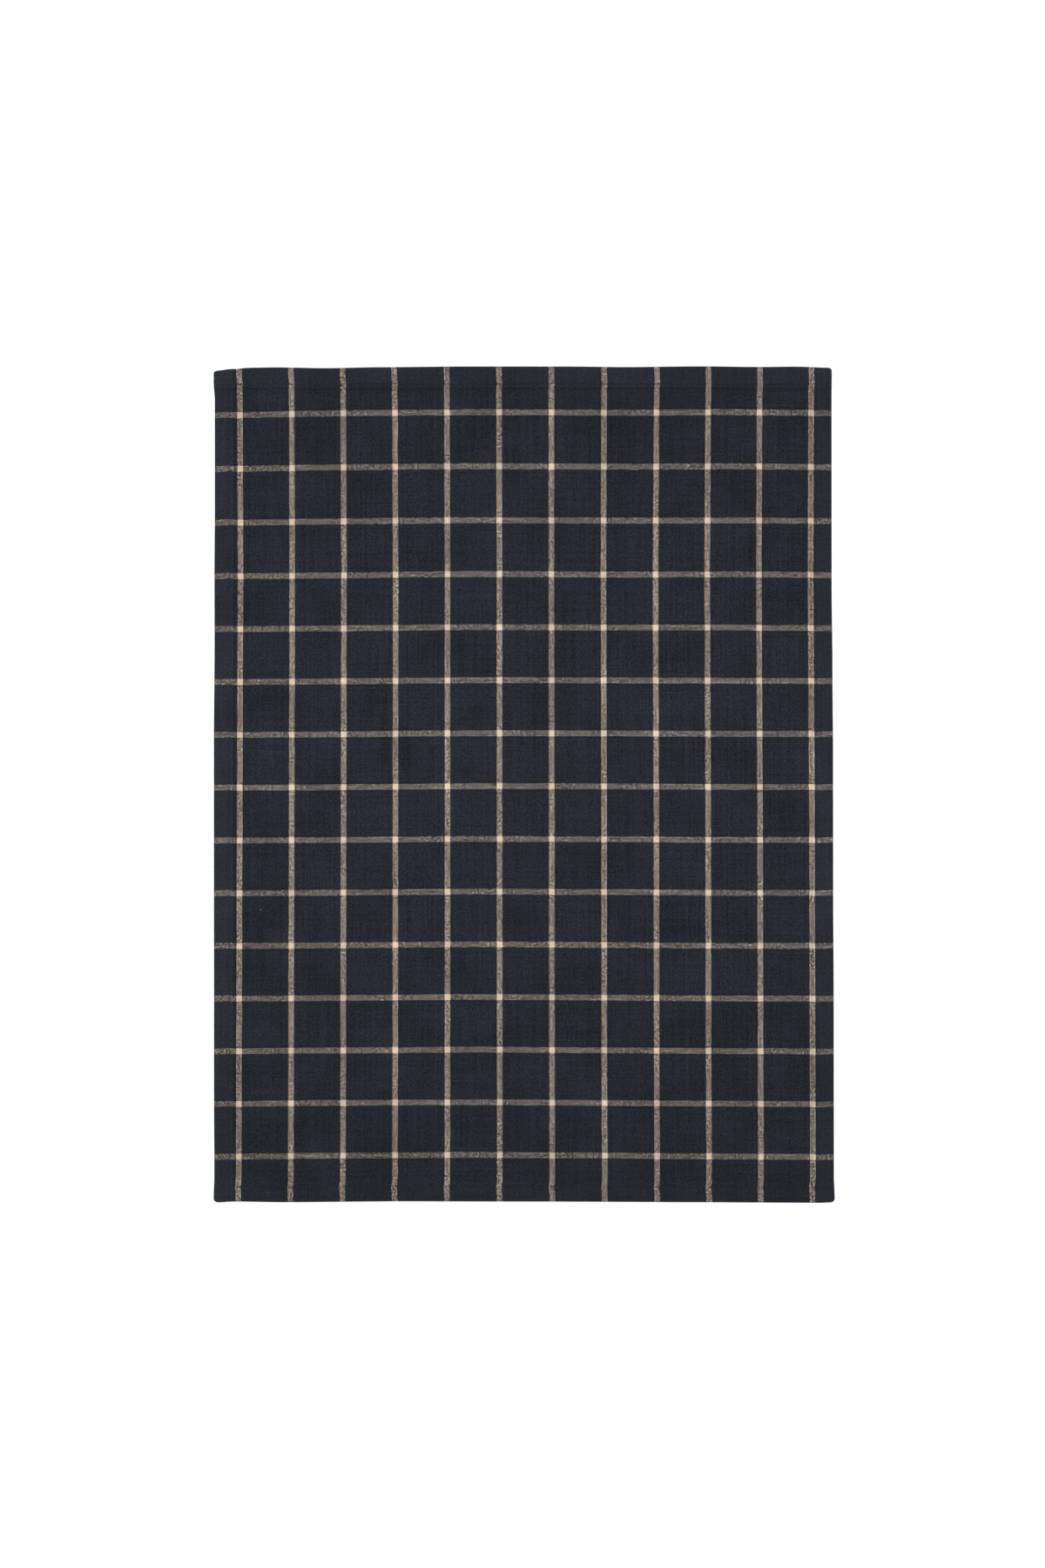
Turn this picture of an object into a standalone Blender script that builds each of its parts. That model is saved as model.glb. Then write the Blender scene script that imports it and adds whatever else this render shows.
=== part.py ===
"""Tea towel: one piece of checked cotton twill, hemmed on all four sides, lying flat with its face up.

The towel is a single closed sheet. X runs across it, Y along it and Z up, and it rests on Z = 0. The
edges of the cut cloth are turned under twice and sewn down, so each hem is a thicker band of the same
cloth: it has a rolled outer fold, a puffed top, a furrow where the sewing pulls it down and a soft step
to the single cloth inside it. The four outlines stray from straight lines as the sewn edges do.
"""

import math
from collections import namedtuple

import bmesh
import bpy

MM = 0.001

# Finished size of the hemmed towel, before its edges stray.
WIDTH = 518 * MM
LENGTH = 700 * MM

# The single cloth with its weave, crimp and the little air that it lies on.
FIELD_HEIGHT = 1.05 * MM
# How much higher the turned layers of one hem stand, and how much of that a corner presses out again.
HEM_RISE = 1.15 * MM
CORNER_PRESS = 0.3
# The outer fold bulges this far past the line where it leaves the top and the underside.
FOLD_BULGE = 0.7 * MM
FOLD_MIDDLE = 0.5
CORNER_RADIUS = 3.2 * MM

# A hem: the distance from the outer fold to the sewing, and to the turned-in inner fold.
Hem = namedtuple("Hem", "stitching inner_fold")
LEFT_HEM = Hem(12.6 * MM, 16.4 * MM)
RIGHT_HEM = Hem(13.5 * MM, 17.0 * MM)
TOP_HEM = Hem(14.6 * MM, 17.8 * MM)
BOTTOM_HEM = Hem(12.6 * MM, 15.0 * MM)

# One row for each line of the hem's cross-section: how far inward it lies of the outer fold, of the
# sewing or of the inner fold, and its share of HEM_RISE.
SectionRow = namedtuple("SectionRow", "base inward share")
HEM_SECTION = (
    SectionRow("outer_fold", FOLD_BULGE, 0.84),
    SectionRow("outer_fold", 1.8 * MM, 0.97),
    SectionRow("outer_fold", CORNER_RADIUS, 1.02),
    SectionRow("outer_fold", 7.5 * MM, 1.06),
    SectionRow("stitching", -2.4 * MM, 1.00),
    SectionRow("stitching", 0.0, 0.66),
    SectionRow("stitching", 1.6 * MM, 0.84),
    SectionRow("inner_fold", 0.6 * MM, 0.50),
    SectionRow("inner_fold", 3.2 * MM, 0.14),
    SectionRow("inner_fold", 7.5 * MM, 0.00),
)

# How far each outline stands outside its straight line, read along the edge from its middle.
EdgeRow = namedtuple("EdgeRow", "along out")
LEFT_EDGE = (
    EdgeRow(-346 * MM, 0.5 * MM),
    EdgeRow(-330 * MM, 0.1 * MM),
    EdgeRow(-260 * MM, 0.4 * MM),
    EdgeRow(35 * MM, 0.5 * MM),
    EdgeRow(120 * MM, -0.1 * MM),
    EdgeRow(175 * MM, 0.0 * MM),
    EdgeRow(230 * MM, -0.3 * MM),
    EdgeRow(322 * MM, -0.3 * MM),
    EdgeRow(338 * MM, 0.5 * MM),
)
RIGHT_EDGE = (
    EdgeRow(-346 * MM, 1.7 * MM),
    EdgeRow(-330 * MM, 1.2 * MM),
    EdgeRow(-200 * MM, 1.1 * MM),
    EdgeRow(-80 * MM, 0.6 * MM),
    EdgeRow(25 * MM, 0.5 * MM),
    EdgeRow(100 * MM, 0.0 * MM),
    EdgeRow(165 * MM, -0.7 * MM),
    EdgeRow(345 * MM, -0.8 * MM),
)
TOP_EDGE = (
    EdgeRow(-257 * MM, -3.6 * MM),
    EdgeRow(-243 * MM, -2.2 * MM),
    EdgeRow(-229 * MM, -1.1 * MM),
    EdgeRow(-208 * MM, -0.8 * MM),
    EdgeRow(-165 * MM, -1.5 * MM),
    EdgeRow(-122 * MM, -0.7 * MM),
    EdgeRow(-50 * MM, -0.1 * MM),
    EdgeRow(40 * MM, -0.1 * MM),
    EdgeRow(84 * MM, -0.6 * MM),
    EdgeRow(150 * MM, 0.0 * MM),
    EdgeRow(200 * MM, -0.5 * MM),
    EdgeRow(228 * MM, -0.2 * MM),
    EdgeRow(257 * MM, -1.2 * MM),
)
BOTTOM_EDGE = (
    EdgeRow(-256 * MM, 0.3 * MM),
    EdgeRow(-243 * MM, -0.3 * MM),
    EdgeRow(-202 * MM, 0.2 * MM),
    EdgeRow(-95 * MM, -0.5 * MM),
    EdgeRow(0 * MM, -0.3 * MM),
    EdgeRow(140 * MM, 0.2 * MM),
    EdgeRow(248 * MM, 0.7 * MM),
    EdgeRow(257 * MM, 0.3 * MM),
)
# A stray edge moves the cloth inside it less and less, and nothing past this distance.
STRAY_REACH = 60 * MM

# Slow swells of the field and puckers along the hems, as waves across the sheet.
Wave = namedtuple("Wave", "length heading height start")
FIELD_WAVES = (
    Wave(210 * MM, 20, 0.09 * MM, 0.4),
    Wave(170 * MM, 100, 0.08 * MM, 2.1),
    Wave(130 * MM, 150, 0.05 * MM, 4.0),
)
HEM_WAVES = (
    Wave(93 * MM, 38, 0.10 * MM, 1.0),
    Wave(71 * MM, 128, 0.08 * MM, 3.3),
)

# The field is divided into about this spacing.
FIELD_SPACING = 24 * MM

NAVY = (0.022, 0.025, 0.033, 1.0)
CLOTH_ROUGHNESS = 0.92

# A line of the grid, across or along the towel, and its share of HEM_RISE.
Line = namedtuple("Line", "place share")


def clear_scene():
    for existing in list(bpy.data.objects):
        bpy.data.objects.remove(existing, do_unlink=True)


def eased(rows, along):
    """The out value of an edge at a place along it, with a smooth run from row to row."""
    if along <= rows[0].along:
        return rows[0].out
    for before, after in zip(rows, rows[1:]):
        if along <= after.along:
            part = (along - before.along) / (after.along - before.along)
            smooth = part * part * (3 - 2 * part)
            return before.out + (after.out - before.out) * smooth
    return rows[-1].out


def reach(distance):
    """How much of an edge's stray is left at a distance inside it."""
    return max(0.0, 1 - distance / STRAY_REACH) ** 3


def strayed(x, y):
    """Where a place on the straight towel lies on the real one."""
    from_left = WIDTH / 2 + x
    from_right = WIDTH / 2 - x
    from_bottom = LENGTH / 2 + y
    from_top = LENGTH / 2 - y
    new_x = x - eased(LEFT_EDGE, y) * reach(from_left) + eased(RIGHT_EDGE, y) * reach(from_right)
    new_y = y - eased(BOTTOM_EDGE, x) * reach(from_bottom) + eased(TOP_EDGE, x) * reach(from_top)
    return new_x, new_y


def rounded(x, y):
    """Draws the square corners in to arcs, by laying each corner's square onto a quarter disc."""
    into_x = (abs(x) - (WIDTH / 2 - CORNER_RADIUS)) / CORNER_RADIUS
    into_y = (abs(y) - (LENGTH / 2 - CORNER_RADIUS)) / CORNER_RADIUS
    if into_x <= 0 or into_y <= 0:
        return x, y
    disc_x = into_x * math.sqrt(1 - into_y * into_y / 2)
    disc_y = into_y * math.sqrt(1 - into_x * into_x / 2)
    new_x = WIDTH / 2 - CORNER_RADIUS + disc_x * CORNER_RADIUS
    new_y = LENGTH / 2 - CORNER_RADIUS + disc_y * CORNER_RADIUS
    return math.copysign(new_x, x), math.copysign(new_y, y)


def swell(waves, x, y):
    """The summed height of waves that run across the sheet, each on its own heading."""
    total = 0.0
    for wave in waves:
        heading = math.radians(wave.heading)
        distance = x * math.cos(heading) + y * math.sin(heading)
        total += wave.height * math.sin(2 * math.pi * distance / wave.length + wave.start)
    return total


def height(across, along):
    """The top of the sheet where two lines of the grid cross."""
    both = across.share + along.share - CORNER_PRESS * across.share * along.share
    in_hem = min(1.0, across.share + along.share)
    x, y = across.place, along.place
    return FIELD_HEIGHT + HEM_RISE * both + swell(FIELD_WAVES, x, y) + in_hem * swell(HEM_WAVES, x, y)


def hem_lines(hem):
    """The lines of one hem, as distances inward from its outer fold."""
    base = {"outer_fold": 0.0, "stitching": hem.stitching, "inner_fold": hem.inner_fold}
    return [Line(base[row.base] + row.inward, row.share) for row in HEM_SECTION]


def grid_lines(size, low_hem, high_hem):
    """All the lines across one direction of the towel, from its low edge to its high edge."""
    low = [Line(line.place - size / 2, line.share) for line in hem_lines(low_hem)]
    high = [Line(size / 2 - line.place, line.share) for line in reversed(hem_lines(high_hem))]
    span = high[0].place - low[-1].place
    count = round(span / FIELD_SPACING)
    field = [Line(low[-1].place + span * n / count, 0.0) for n in range(1, count)]
    return low + field + high


def outline_of(grid):
    """The grid's outer vertices in order, counter-clockwise seen from above."""
    bottom = [row[0] for row in grid]
    right = grid[-1][1:]
    top = [row[-1] for row in reversed(grid[:-1])]
    left = list(reversed(grid[0][1:-1]))
    return bottom + right + top + left


def add_top(mesh, across, along):
    """The face of the towel as a grid of quads."""
    grid = []
    for x_line in across:
        column = []
        for y_line in along:
            x, y = strayed(*rounded(x_line.place, y_line.place))
            column.append(mesh.verts.new((x, y, height(x_line, y_line))))
        grid.append(column)
    for left, right in zip(grid, grid[1:]):
        for n in range(len(along) - 1):
            mesh.faces.new((left[n], right[n], right[n + 1], left[n + 1]))
    return grid


def fold_places(across, along):
    """The outer fold's own places, out from each vertex of the grid's outline, in the same order."""
    xs = [line.place for line in across]
    ys = [line.place for line in along]
    xs[0], xs[-1] = -WIDTH / 2, WIDTH / 2
    ys[0], ys[-1] = -LENGTH / 2, LENGTH / 2
    places = [[(x, y) for y in ys] for x in xs]
    return [strayed(*rounded(x, y)) for x, y in outline_of(places)]


def add_fold_and_underside(mesh, grid, across, along):
    """The rolled outer fold all round, closed by one flat underside."""
    top_ring = outline_of(grid)
    fold_ring = []
    under_ring = []
    for vertex, (x, y) in zip(top_ring, fold_places(across, along)):
        fold_ring.append(mesh.verts.new((x, y, vertex.co.z * FOLD_MIDDLE)))
        under_ring.append(mesh.verts.new((vertex.co.x, vertex.co.y, 0.0)))
    for upper, lower in ((top_ring, fold_ring), (fold_ring, under_ring)):
        for n in range(len(upper)):
            after = (n + 1) % len(upper)
            mesh.faces.new((upper[n], lower[n], lower[after], upper[after]))
    mesh.faces.new(list(reversed(under_ring)))


def centre_on_box(mesh):
    """Sets the middle of the towel's own box over the origin."""
    for axis in (0, 1):
        values = [vertex.co[axis] for vertex in mesh.verts]
        middle = (min(values) + max(values)) / 2
        for vertex in mesh.verts:
            vertex.co[axis] -= middle


def cloth_material():
    material = bpy.data.materials.new("checked_twill")
    material.use_nodes = True
    shader = material.node_tree.nodes["Principled BSDF"]
    shader.inputs["Base Color"].default_value = NAVY
    shader.inputs["Roughness"].default_value = CLOTH_ROUGHNESS
    shader.inputs["Metallic"].default_value = 0.0
    return material


def make_cloth():
    across = grid_lines(WIDTH, LEFT_HEM, RIGHT_HEM)
    along = grid_lines(LENGTH, BOTTOM_HEM, TOP_HEM)
    mesh = bmesh.new()
    grid = add_top(mesh, across, along)
    add_fold_and_underside(mesh, grid, across, along)
    centre_on_box(mesh)
    data = bpy.data.meshes.new("cloth")
    mesh.to_mesh(data)
    mesh.free()
    data.materials.append(cloth_material())
    data.shade_smooth()
    cloth = bpy.data.objects.new("cloth", data)
    bpy.context.scene.collection.objects.link(cloth)


clear_scene()
make_cloth()
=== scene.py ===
# %% [markdown]
# # A checked tea towel, hemmed and laid flat
# The real towel is one rectangle of yarn-dyed cotton twill: navy, with thin beige stripes both ways.
# Its four edges are turned under twice and sewn down, and it lies on its wrong side with its face up.
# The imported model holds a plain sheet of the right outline. Around it this lesson makes the cloth as it
# is really turned, the thread that holds the hems, the weave yarn by yarn, and the light of the photo.

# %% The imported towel
from collections import namedtuple

import bpy
import numpy as np
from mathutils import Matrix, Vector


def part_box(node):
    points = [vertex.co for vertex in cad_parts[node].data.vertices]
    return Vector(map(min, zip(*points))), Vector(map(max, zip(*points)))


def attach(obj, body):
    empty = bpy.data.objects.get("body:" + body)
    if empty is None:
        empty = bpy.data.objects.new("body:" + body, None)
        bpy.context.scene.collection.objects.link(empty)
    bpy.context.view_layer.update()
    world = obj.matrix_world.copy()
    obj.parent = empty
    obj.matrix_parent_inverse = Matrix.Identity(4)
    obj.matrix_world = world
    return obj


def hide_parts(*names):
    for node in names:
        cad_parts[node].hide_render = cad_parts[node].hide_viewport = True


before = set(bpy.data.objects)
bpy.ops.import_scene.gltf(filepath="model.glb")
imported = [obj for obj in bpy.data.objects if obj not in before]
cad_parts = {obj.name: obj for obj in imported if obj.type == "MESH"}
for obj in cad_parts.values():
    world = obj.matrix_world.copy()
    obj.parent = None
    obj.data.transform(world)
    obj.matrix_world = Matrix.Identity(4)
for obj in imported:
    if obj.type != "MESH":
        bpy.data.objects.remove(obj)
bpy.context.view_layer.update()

MM = 0.001
cloth_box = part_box("cloth")

# %% [markdown]
# ## The towel's sizes
# A sewing pattern starts with sizes. Nobody sews four hems alike, so each has its own row: the line of
# its sewing, its depth and how much of the edge is turned in.

# %% Finished size and hems
WIDTH = 518 * MM
LENGTH = 700 * MM
CORNER_RADIUS = 3.2 * MM

Hem = namedtuple("Hem", "stitching inner_fold turned_in")
Sides = namedtuple("Sides", "left right top bottom")
HEMS = Sides(
    left=Hem(12.6 * MM, 16.4 * MM, 10.0 * MM),
    right=Hem(13.5 * MM, 17.0 * MM, 10.0 * MM),
    top=Hem(14.6 * MM, 17.8 * MM, 11.5 * MM),
    bottom=Hem(12.6 * MM, 15.0 * MM, 11.5 * MM),
)

# The height of the single cloth, the rise of the hems, and how much of both a corner presses out again.
FIELD_HEIGHT = 1.05 * MM
HEM_RISE = 1.15 * MM
CORNER_PRESS = 0.3
# One layer of the cloth, and all three layers of a side hem where an end hem folds them again.
CLOTH = 0.55 * MM
PRESSED_HEM = 0.85 * MM


def inward_of(x, y):
    """How far a place on the straight towel lies inward from each outer fold."""
    return Sides(left=WIDTH / 2 + x, right=WIDTH / 2 - x, top=LENGTH / 2 - y, bottom=LENGTH / 2 + y)


depths = [hem.inner_fold / MM for hem in HEMS]
print(f"finished towel {WIDTH / MM:.0f} by {LENGTH / MM:.0f} mm, hems of {min(depths)} to {max(depths)} mm")

# %% [markdown]
# A hem is rounded at its outer fold, puffed over its three layers, pulled down in a furrow by the sewing,
# and it runs out softly over the inner fold. The table gives places, inward from a fold or the sewing, and
# their share of the rise. `softened` reads it with rounded corners, as cloth rounds any crease.

# %% The hem's section
FOLD_BULGE = 0.7 * MM
# From each base, pairs of a place inward in millimetres and the share of the rise there.
HEM_SECTION = (
    ("outer_fold", ((FOLD_BULGE / MM, 0.84), (1.8, 0.97), (CORNER_RADIUS / MM, 1.02), (7.5, 1.06))),
    ("stitching", ((-2.4, 1.00), (0.0, 0.66), (1.6, 0.84))),
    ("inner_fold", ((0.6, 0.50), (3.2, 0.14), (7.5, 0.00))),
)
SECTION_SOFTENING = 0.9 * MM
SOFTENING_STEPS = 7


def softened(places, values, at, width):
    """Reads a table with straight runs between its rows and corners rounded over a width."""
    shifts = np.linspace(-0.5, 0.5, SOFTENING_STEPS) * width
    return sum(np.interp(at + shift, places, values) for shift in shifts) / SOFTENING_STEPS


def bases(hem):
    return {"outer_fold": 0.0, "stitching": hem.stitching, "inner_fold": hem.inner_fold}


def hem_share(hem, inward):
    """How much of the hem's rise is reached at a distance inward from the outer fold."""
    rows = [(bases(hem)[base] + place * MM, share) for base, pairs in HEM_SECTION for place, share in pairs]
    places, shares = zip(*rows)
    return softened(places, shares, inward, SECTION_SOFTENING)


def share_across(x):
    return hem_share(HEMS.left, WIDTH / 2 + x) + hem_share(HEMS.right, WIDTH / 2 - x)


def share_along(y):
    return hem_share(HEMS.bottom, LENGTH / 2 + y) + hem_share(HEMS.top, LENGTH / 2 - y)


print("rise of the left hem at its sewing:", round(float(hem_share(HEMS.left, HEMS.left.stitching)), 2))

# %% [markdown]
# ## An outline that strays
# The sewn edges aren't straight: the top edge droops at its left end, the right edge leans out towards
# the bottom, and small bulges sit at the hems' ends. Each edge gets a few places read off the real towel,
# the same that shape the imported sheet.

# %% How far each edge strays
# Pairs of a place along the edge and how far out it stands there, in millimetres.
EDGES = Sides(
    left=(
        (-346, 0.5), (-330, 0.1), (-260, 0.4), (35, 0.5), (120, -0.1), (175, 0.0), (230, -0.3),
        (322, -0.3), (338, 0.5),
    ),
    right=(
        (-346, 1.7), (-330, 1.2), (-200, 1.1), (-80, 0.6), (25, 0.5), (100, 0.0), (165, -0.7),
        (345, -0.8),
    ),
    top=(
        (-257, -3.6), (-243, -2.2), (-229, -1.1), (-208, -0.8), (-165, -1.5), (-122, -0.7),
        (-50, -0.1), (40, -0.1), (84, -0.6), (150, 0.0), (200, -0.5), (228, -0.2), (257, -1.2),
    ),
    bottom=(
        (-256, 0.3), (-243, -0.3), (-202, 0.2), (-95, -0.5), (0, -0.3), (140, 0.2), (248, 0.7),
        (257, 0.3),
    ),
)
print("the top edge droops by", -EDGES.top[0][1], "mm at its left end")

# %% [markdown]
# Between those an edge runs smoothly, and the cloth inside follows it less and less. `strayed` moves a
# place on the straight towel to the real one. Before that, `rounded` draws in the square corners.

# %% From the straight towel to the real one
STRAY_REACH = 60 * MM


def eased(rows, along):
    """How far an edge stands out at places along it, with a smooth run from row to row."""
    places, outs = np.array(rows).T * MM
    before = np.clip(np.searchsorted(places, along) - 1, 0, len(rows) - 2)
    part = np.clip((along - places[before]) / (places[before + 1] - places[before]), 0, 1)
    return outs[before] + (outs[before + 1] - outs[before]) * part * part * (3 - 2 * part)


def reach(distance):
    return np.clip(1 - distance / STRAY_REACH, 0, None) ** 3


def strayed(x, y):
    """Where places on the straight towel lie on the real one."""
    edges = zip(EDGES, (y, y, x, x), inward_of(x, y))
    left, right, top, bottom = (eased(rows, along) * reach(inward) for rows, along, inward in edges)
    return x - left + right, y - bottom + top


def rounded(x, y):
    """Draws the square corners in to arcs, by laying each corner's square onto a quarter disc."""
    straight_x, straight_y = WIDTH / 2 - CORNER_RADIUS, LENGTH / 2 - CORNER_RADIUS
    into_x = (np.abs(x) - straight_x) / CORNER_RADIUS
    into_y = (np.abs(y) - straight_y) / CORNER_RADIUS
    in_corner = (into_x > 0) & (into_y > 0)
    disc_x = into_x * np.sqrt(np.clip(1 - into_y * into_y / 2, 0, 1))
    disc_y = into_y * np.sqrt(np.clip(1 - into_x * into_x / 2, 0, 1))
    arc_x = np.sign(x) * (straight_x + disc_x * CORNER_RADIUS)
    arc_y = np.sign(y) * (straight_y + disc_y * CORNER_RADIUS)
    return np.where(in_corner, arc_x, x), np.where(in_corner, arc_y, y)


corner = [round(float(value) / MM, 1) for value in strayed(-WIDTH / 2, LENGTH / 2)]
print("the top left corner lies at", corner, "mm")

# %% [markdown]
# ## The face's height
# Even a pressed towel swells and settles a little. Long low waves run through the field and shorter ones
# along the hems. Where a side hem and an end hem cross, both rises add up, less what the iron presses out.

# %% Swells and the height of the face
Wave = namedtuple("Wave", "length heading height start")
FIELD_WAVES = (
    Wave(210 * MM, 20, 0.09 * MM, 0.4),
    Wave(170 * MM, 100, 0.08 * MM, 2.1),
    Wave(130 * MM, 150, 0.05 * MM, 4.0),
)
HEM_WAVES = (
    Wave(93 * MM, 38, 0.10 * MM, 1.0),
    Wave(71 * MM, 128, 0.08 * MM, 3.3),
)


def swell(waves, x, y):
    """The summed height of waves that run across the sheet, each on its own heading."""
    total = 0.0
    for wave in waves:
        heading = np.radians(wave.heading)
        distance = x * np.cos(heading) + y * np.sin(heading)
        total = total + wave.height * np.sin(2 * np.pi * distance / wave.length + wave.start)
    return total


def level_top(x, y):
    """The height of the face before any swell."""
    across, along = share_across(x), share_along(y)
    return FIELD_HEIGHT + HEM_RISE * (across + along - CORNER_PRESS * across * along)


def top_swell(x, y):
    in_hem = np.minimum(1.0, share_across(x) + share_along(y))
    return swell(FIELD_WAVES, x, y) + in_hem * swell(HEM_WAVES, x, y)


print(f"face {level_top(0.0, 0.0) / MM:.2f} mm high in the field,"
      f" {level_top(WIDTH / 2 - 9 * MM, LENGTH / 2 - 8 * MM) / MM:.2f} mm at a corner")

# %% [markdown]
# ## Turning a hem
# A sewer turns the raw edge in by a centimetre and then turns the whole edge again, so that three layers
# lie on each other: the face, the back and, between them, the turned-in edge. So every line of the cut
# cloth is told which part of the hem it lies in, and `turned` works out its place and height there. The
# folds are half circles, round which each of the sheet's two skins runs at its own radius.

# %% Where a line of the cloth lies on a turned hem
FACE, OUTER_FOLD, BACK, INNER_FOLD, MIDDLE = range(5)
# The lower two layers take up their own thickness and this gap, or this share of the stack if it is more.
LAYER_GAP = 0.06 * MM
LOWER_SHARE = 0.64
# The radii of the folds for working out the length of the cut. A fold line's value is its angle.
USUAL_FOLD = 1.03 * MM
USUAL_TURN = 0.58 * MM

Lines = namedtuple("Lines", "zone side value depth flat")


def lower_layers(stack, sheet):
    return np.maximum(2 * sheet + LAYER_GAP, LOWER_SHARE * stack)


def turned(lines, half, share, stack, sheet):
    """The place and height of lines of a sheet turned at +half and -half.

    share is 0 on the sheet's lower skin and 1 on its upper one. stack(place) is the height of the face
    there and sheet(place) the sheet's own thickness.
    """
    from_upper = 1 - share
    fold_place = lines.side * (half - FOLD_BULGE)
    fold_radius = stack(fold_place) / 2
    fold_skin = fold_radius - sheet(fold_place) * from_upper
    turn_place = lines.side * (half - lines.depth + USUAL_TURN)
    turn_radius = lower_layers(stack(turn_place), sheet(turn_place)) / 2
    turn_skin = turn_radius - sheet(turn_place) * from_upper
    level_place = np.where(lines.zone == FACE, lines.value, lines.side * (half - lines.value))
    level_stack, level_sheet = stack(level_place), sheet(level_place)
    level_low = level_sheet * from_upper
    # A place and a height for each zone, in the order of the zones' numbers.
    by_zone = (
        (level_place, level_stack - level_low),
        (
            lines.side * (half - fold_radius + fold_skin * np.cos(lines.value)),
            fold_radius + fold_skin * np.sin(lines.value),
        ),
        (level_place, level_low),
        (
            lines.side * (half - lines.depth + turn_radius - turn_skin * np.cos(lines.value)),
            turn_radius - turn_skin * np.sin(lines.value),
        ),
        (level_place, lower_layers(level_stack, level_sheet) - level_low),
    )
    in_zone = [lines.zone == zone for zone in range(len(by_zone))]
    return [np.select(in_zone, values) for values in zip(*by_zone)]


print("a usual outer fold is", round(2 * USUAL_FOLD / MM, 2), "mm high")

# %% [markdown]
# The lines lie close together where the cloth bends and far apart where it is flat. Each also keeps its
# place on the flat cut cloth, which the weave needs later: the yarns don't stop at the fold.

# %% Where the lines lie
FIELD_SPACING = 6.5 * MM
LEAST_SPACING = 0.25 * MM
# Places inward from each base in millimetres.
FACE_LINES = (
    ("inner_fold", (9.0, 6.8, 5.0, 3.6, 2.6, 1.8, 1.0, 0.3, -0.4)),
    ("stitching", (2.0, 1.3, 0.8, 0.4, 0.0, -0.4, -0.8, -1.4, -2.2, -3.4)),
    ("outer_fold", (7.6, 6.2, 4.6, 3.2, 2.4, 1.8)),
)
LOWER_LINES = (
    ("outer_fold", (2.4, 3.2, 5.4, 8.4)),
    ("stitching", (-1.2, -0.6, 0.0, 0.6, 1.2)),
)
OUTER_ANGLES = np.radians(np.linspace(90, -90, 9))
INNER_ANGLES = np.radians(np.linspace(90, -90, 6))


def inward_places(rows, hem):
    """The places of a table of lines, outermost last, without any that nearly coincide."""
    places = [bases(hem)[base] + inward * MM for base, inwards in rows for inward in inwards]
    places.sort(reverse=True)
    kept = places[:1]
    for place in places[1:]:
        if kept[-1] - place > LEAST_SPACING:
            kept.append(place)
    return kept


print(len(inward_places(FACE_LINES, HEMS.left)), "lines on the face of the left hem")

# %% [markdown]
# A hem's lines follow the cloth: from the field over the outer fold, back along the underside, round the
# inner fold and in between, up to the raw edge. Two hems and the field between them make one direction.

# %% The lines of the cut cloth, from raw edge to raw edge
def hem_side(half, hem, side):
    """One hem's lines as (zone, value, flat place), from the field out to the raw edge."""
    fold_bend, turn_bend = USUAL_FOLD - CLOTH / 2, USUAL_TURN - CLOTH / 2
    fold_start = half - USUAL_FOLD
    back_start = fold_start + np.pi * fold_bend
    back_end = hem.inner_fold - USUAL_TURN
    turn_start = back_start + back_end - USUAL_FOLD
    turn_end = turn_start + np.pi * turn_bend
    raw_edge = hem.inner_fold - hem.turned_in
    lower = [place for place in inward_places(LOWER_LINES, hem) if place < back_end]
    middle = [place for place in lower if place > raw_edge + LEAST_SPACING] + [raw_edge]
    rows = [(FACE, side * (half - inward), half - inward) for inward in inward_places(FACE_LINES, hem)]
    rows += [(OUTER_FOLD, angle, fold_start + fold_bend * (np.pi / 2 - angle)) for angle in OUTER_ANGLES]
    rows += [(BACK, inward, back_start + inward - USUAL_FOLD) for inward in reversed(lower)]
    rows += [(INNER_FOLD, angle, turn_start + turn_bend * (np.pi / 2 - angle)) for angle in INNER_ANGLES]
    rows += [(MIDDLE, inward, turn_end + back_end - inward) for inward in middle]
    return [(zone, side, value, hem.inner_fold, side * flat) for zone, value, flat in rows]


def cloth_lines(size, low_hem, high_hem):
    """All the lines in one direction of the cut cloth, as arrays."""
    low = hem_side(size / 2, low_hem, -1)[::-1]
    high = hem_side(size / 2, high_hem, 1)
    start, end = low[-1][2], high[0][2]
    count = round((end - start) / FIELD_SPACING)
    between = np.linspace(start, end, count + 1)[1:-1]
    field = [(FACE, 1, place, high_hem.inner_fold, place) for place in between]
    return Lines(*(np.array(column) for column in zip(*(low + field + high))))


across = cloth_lines(WIDTH, HEMS.left, HEMS.right)
along = cloth_lines(LENGTH, HEMS.bottom, HEMS.top)
CUT_WIDTH = float(across.flat[-1] - across.flat[0])
CUT_LENGTH = float(along.flat[-1] - along.flat[0])
print(f"{len(across.zone)} by {len(along.zone)} lines on a cut of"
      f" {CUT_WIDTH / MM:.0f} by {CUT_LENGTH / MM:.0f} mm")

# %% [markdown]
# ## Side hems first, then the end hems
# The maker sews the two long sides first and then folds the ends over them, so a corner holds nine
# layers. So `turned` is used twice: across the towel on the single cloth, and then along it, where its
# sheet is whatever the first turn left: one layer in the middle, a pressed side hem near the edges.

# %% Both turns
# Shares of a hem's rise: where an end hem has fully pressed the side hem under it, and where a side hem
# has all its layers.
PRESSED_BY = 0.66
WHOLE_FROM = 0.5


def pressing(y):
    return np.clip(share_along(y) / PRESSED_BY, 0, 1)


def in_side_hem(x):
    """1 over all three layers of a side hem, running out inside its inner fold."""
    return np.minimum(1.0, share_across(x) / WHOLE_FROM)


def side_stack(x, pressed):
    """The thickness of what lies at x after the first turn, from the side hem's three layers to one."""
    loose = FIELD_HEIGHT + HEM_RISE * share_across(x)
    return (1 - pressed) * loose + pressed * (CLOTH + (PRESSED_HEM - CLOTH) * in_side_hem(x))


def one_layer(x, pressed):
    """The thickness of the single cloth, which an end hem presses thinner inside a side hem."""
    thinned = (PRESSED_HEM - 2 * LAYER_GAP) / 3
    return CLOTH - pressed * in_side_hem(x) * (CLOTH - thinned)


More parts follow.
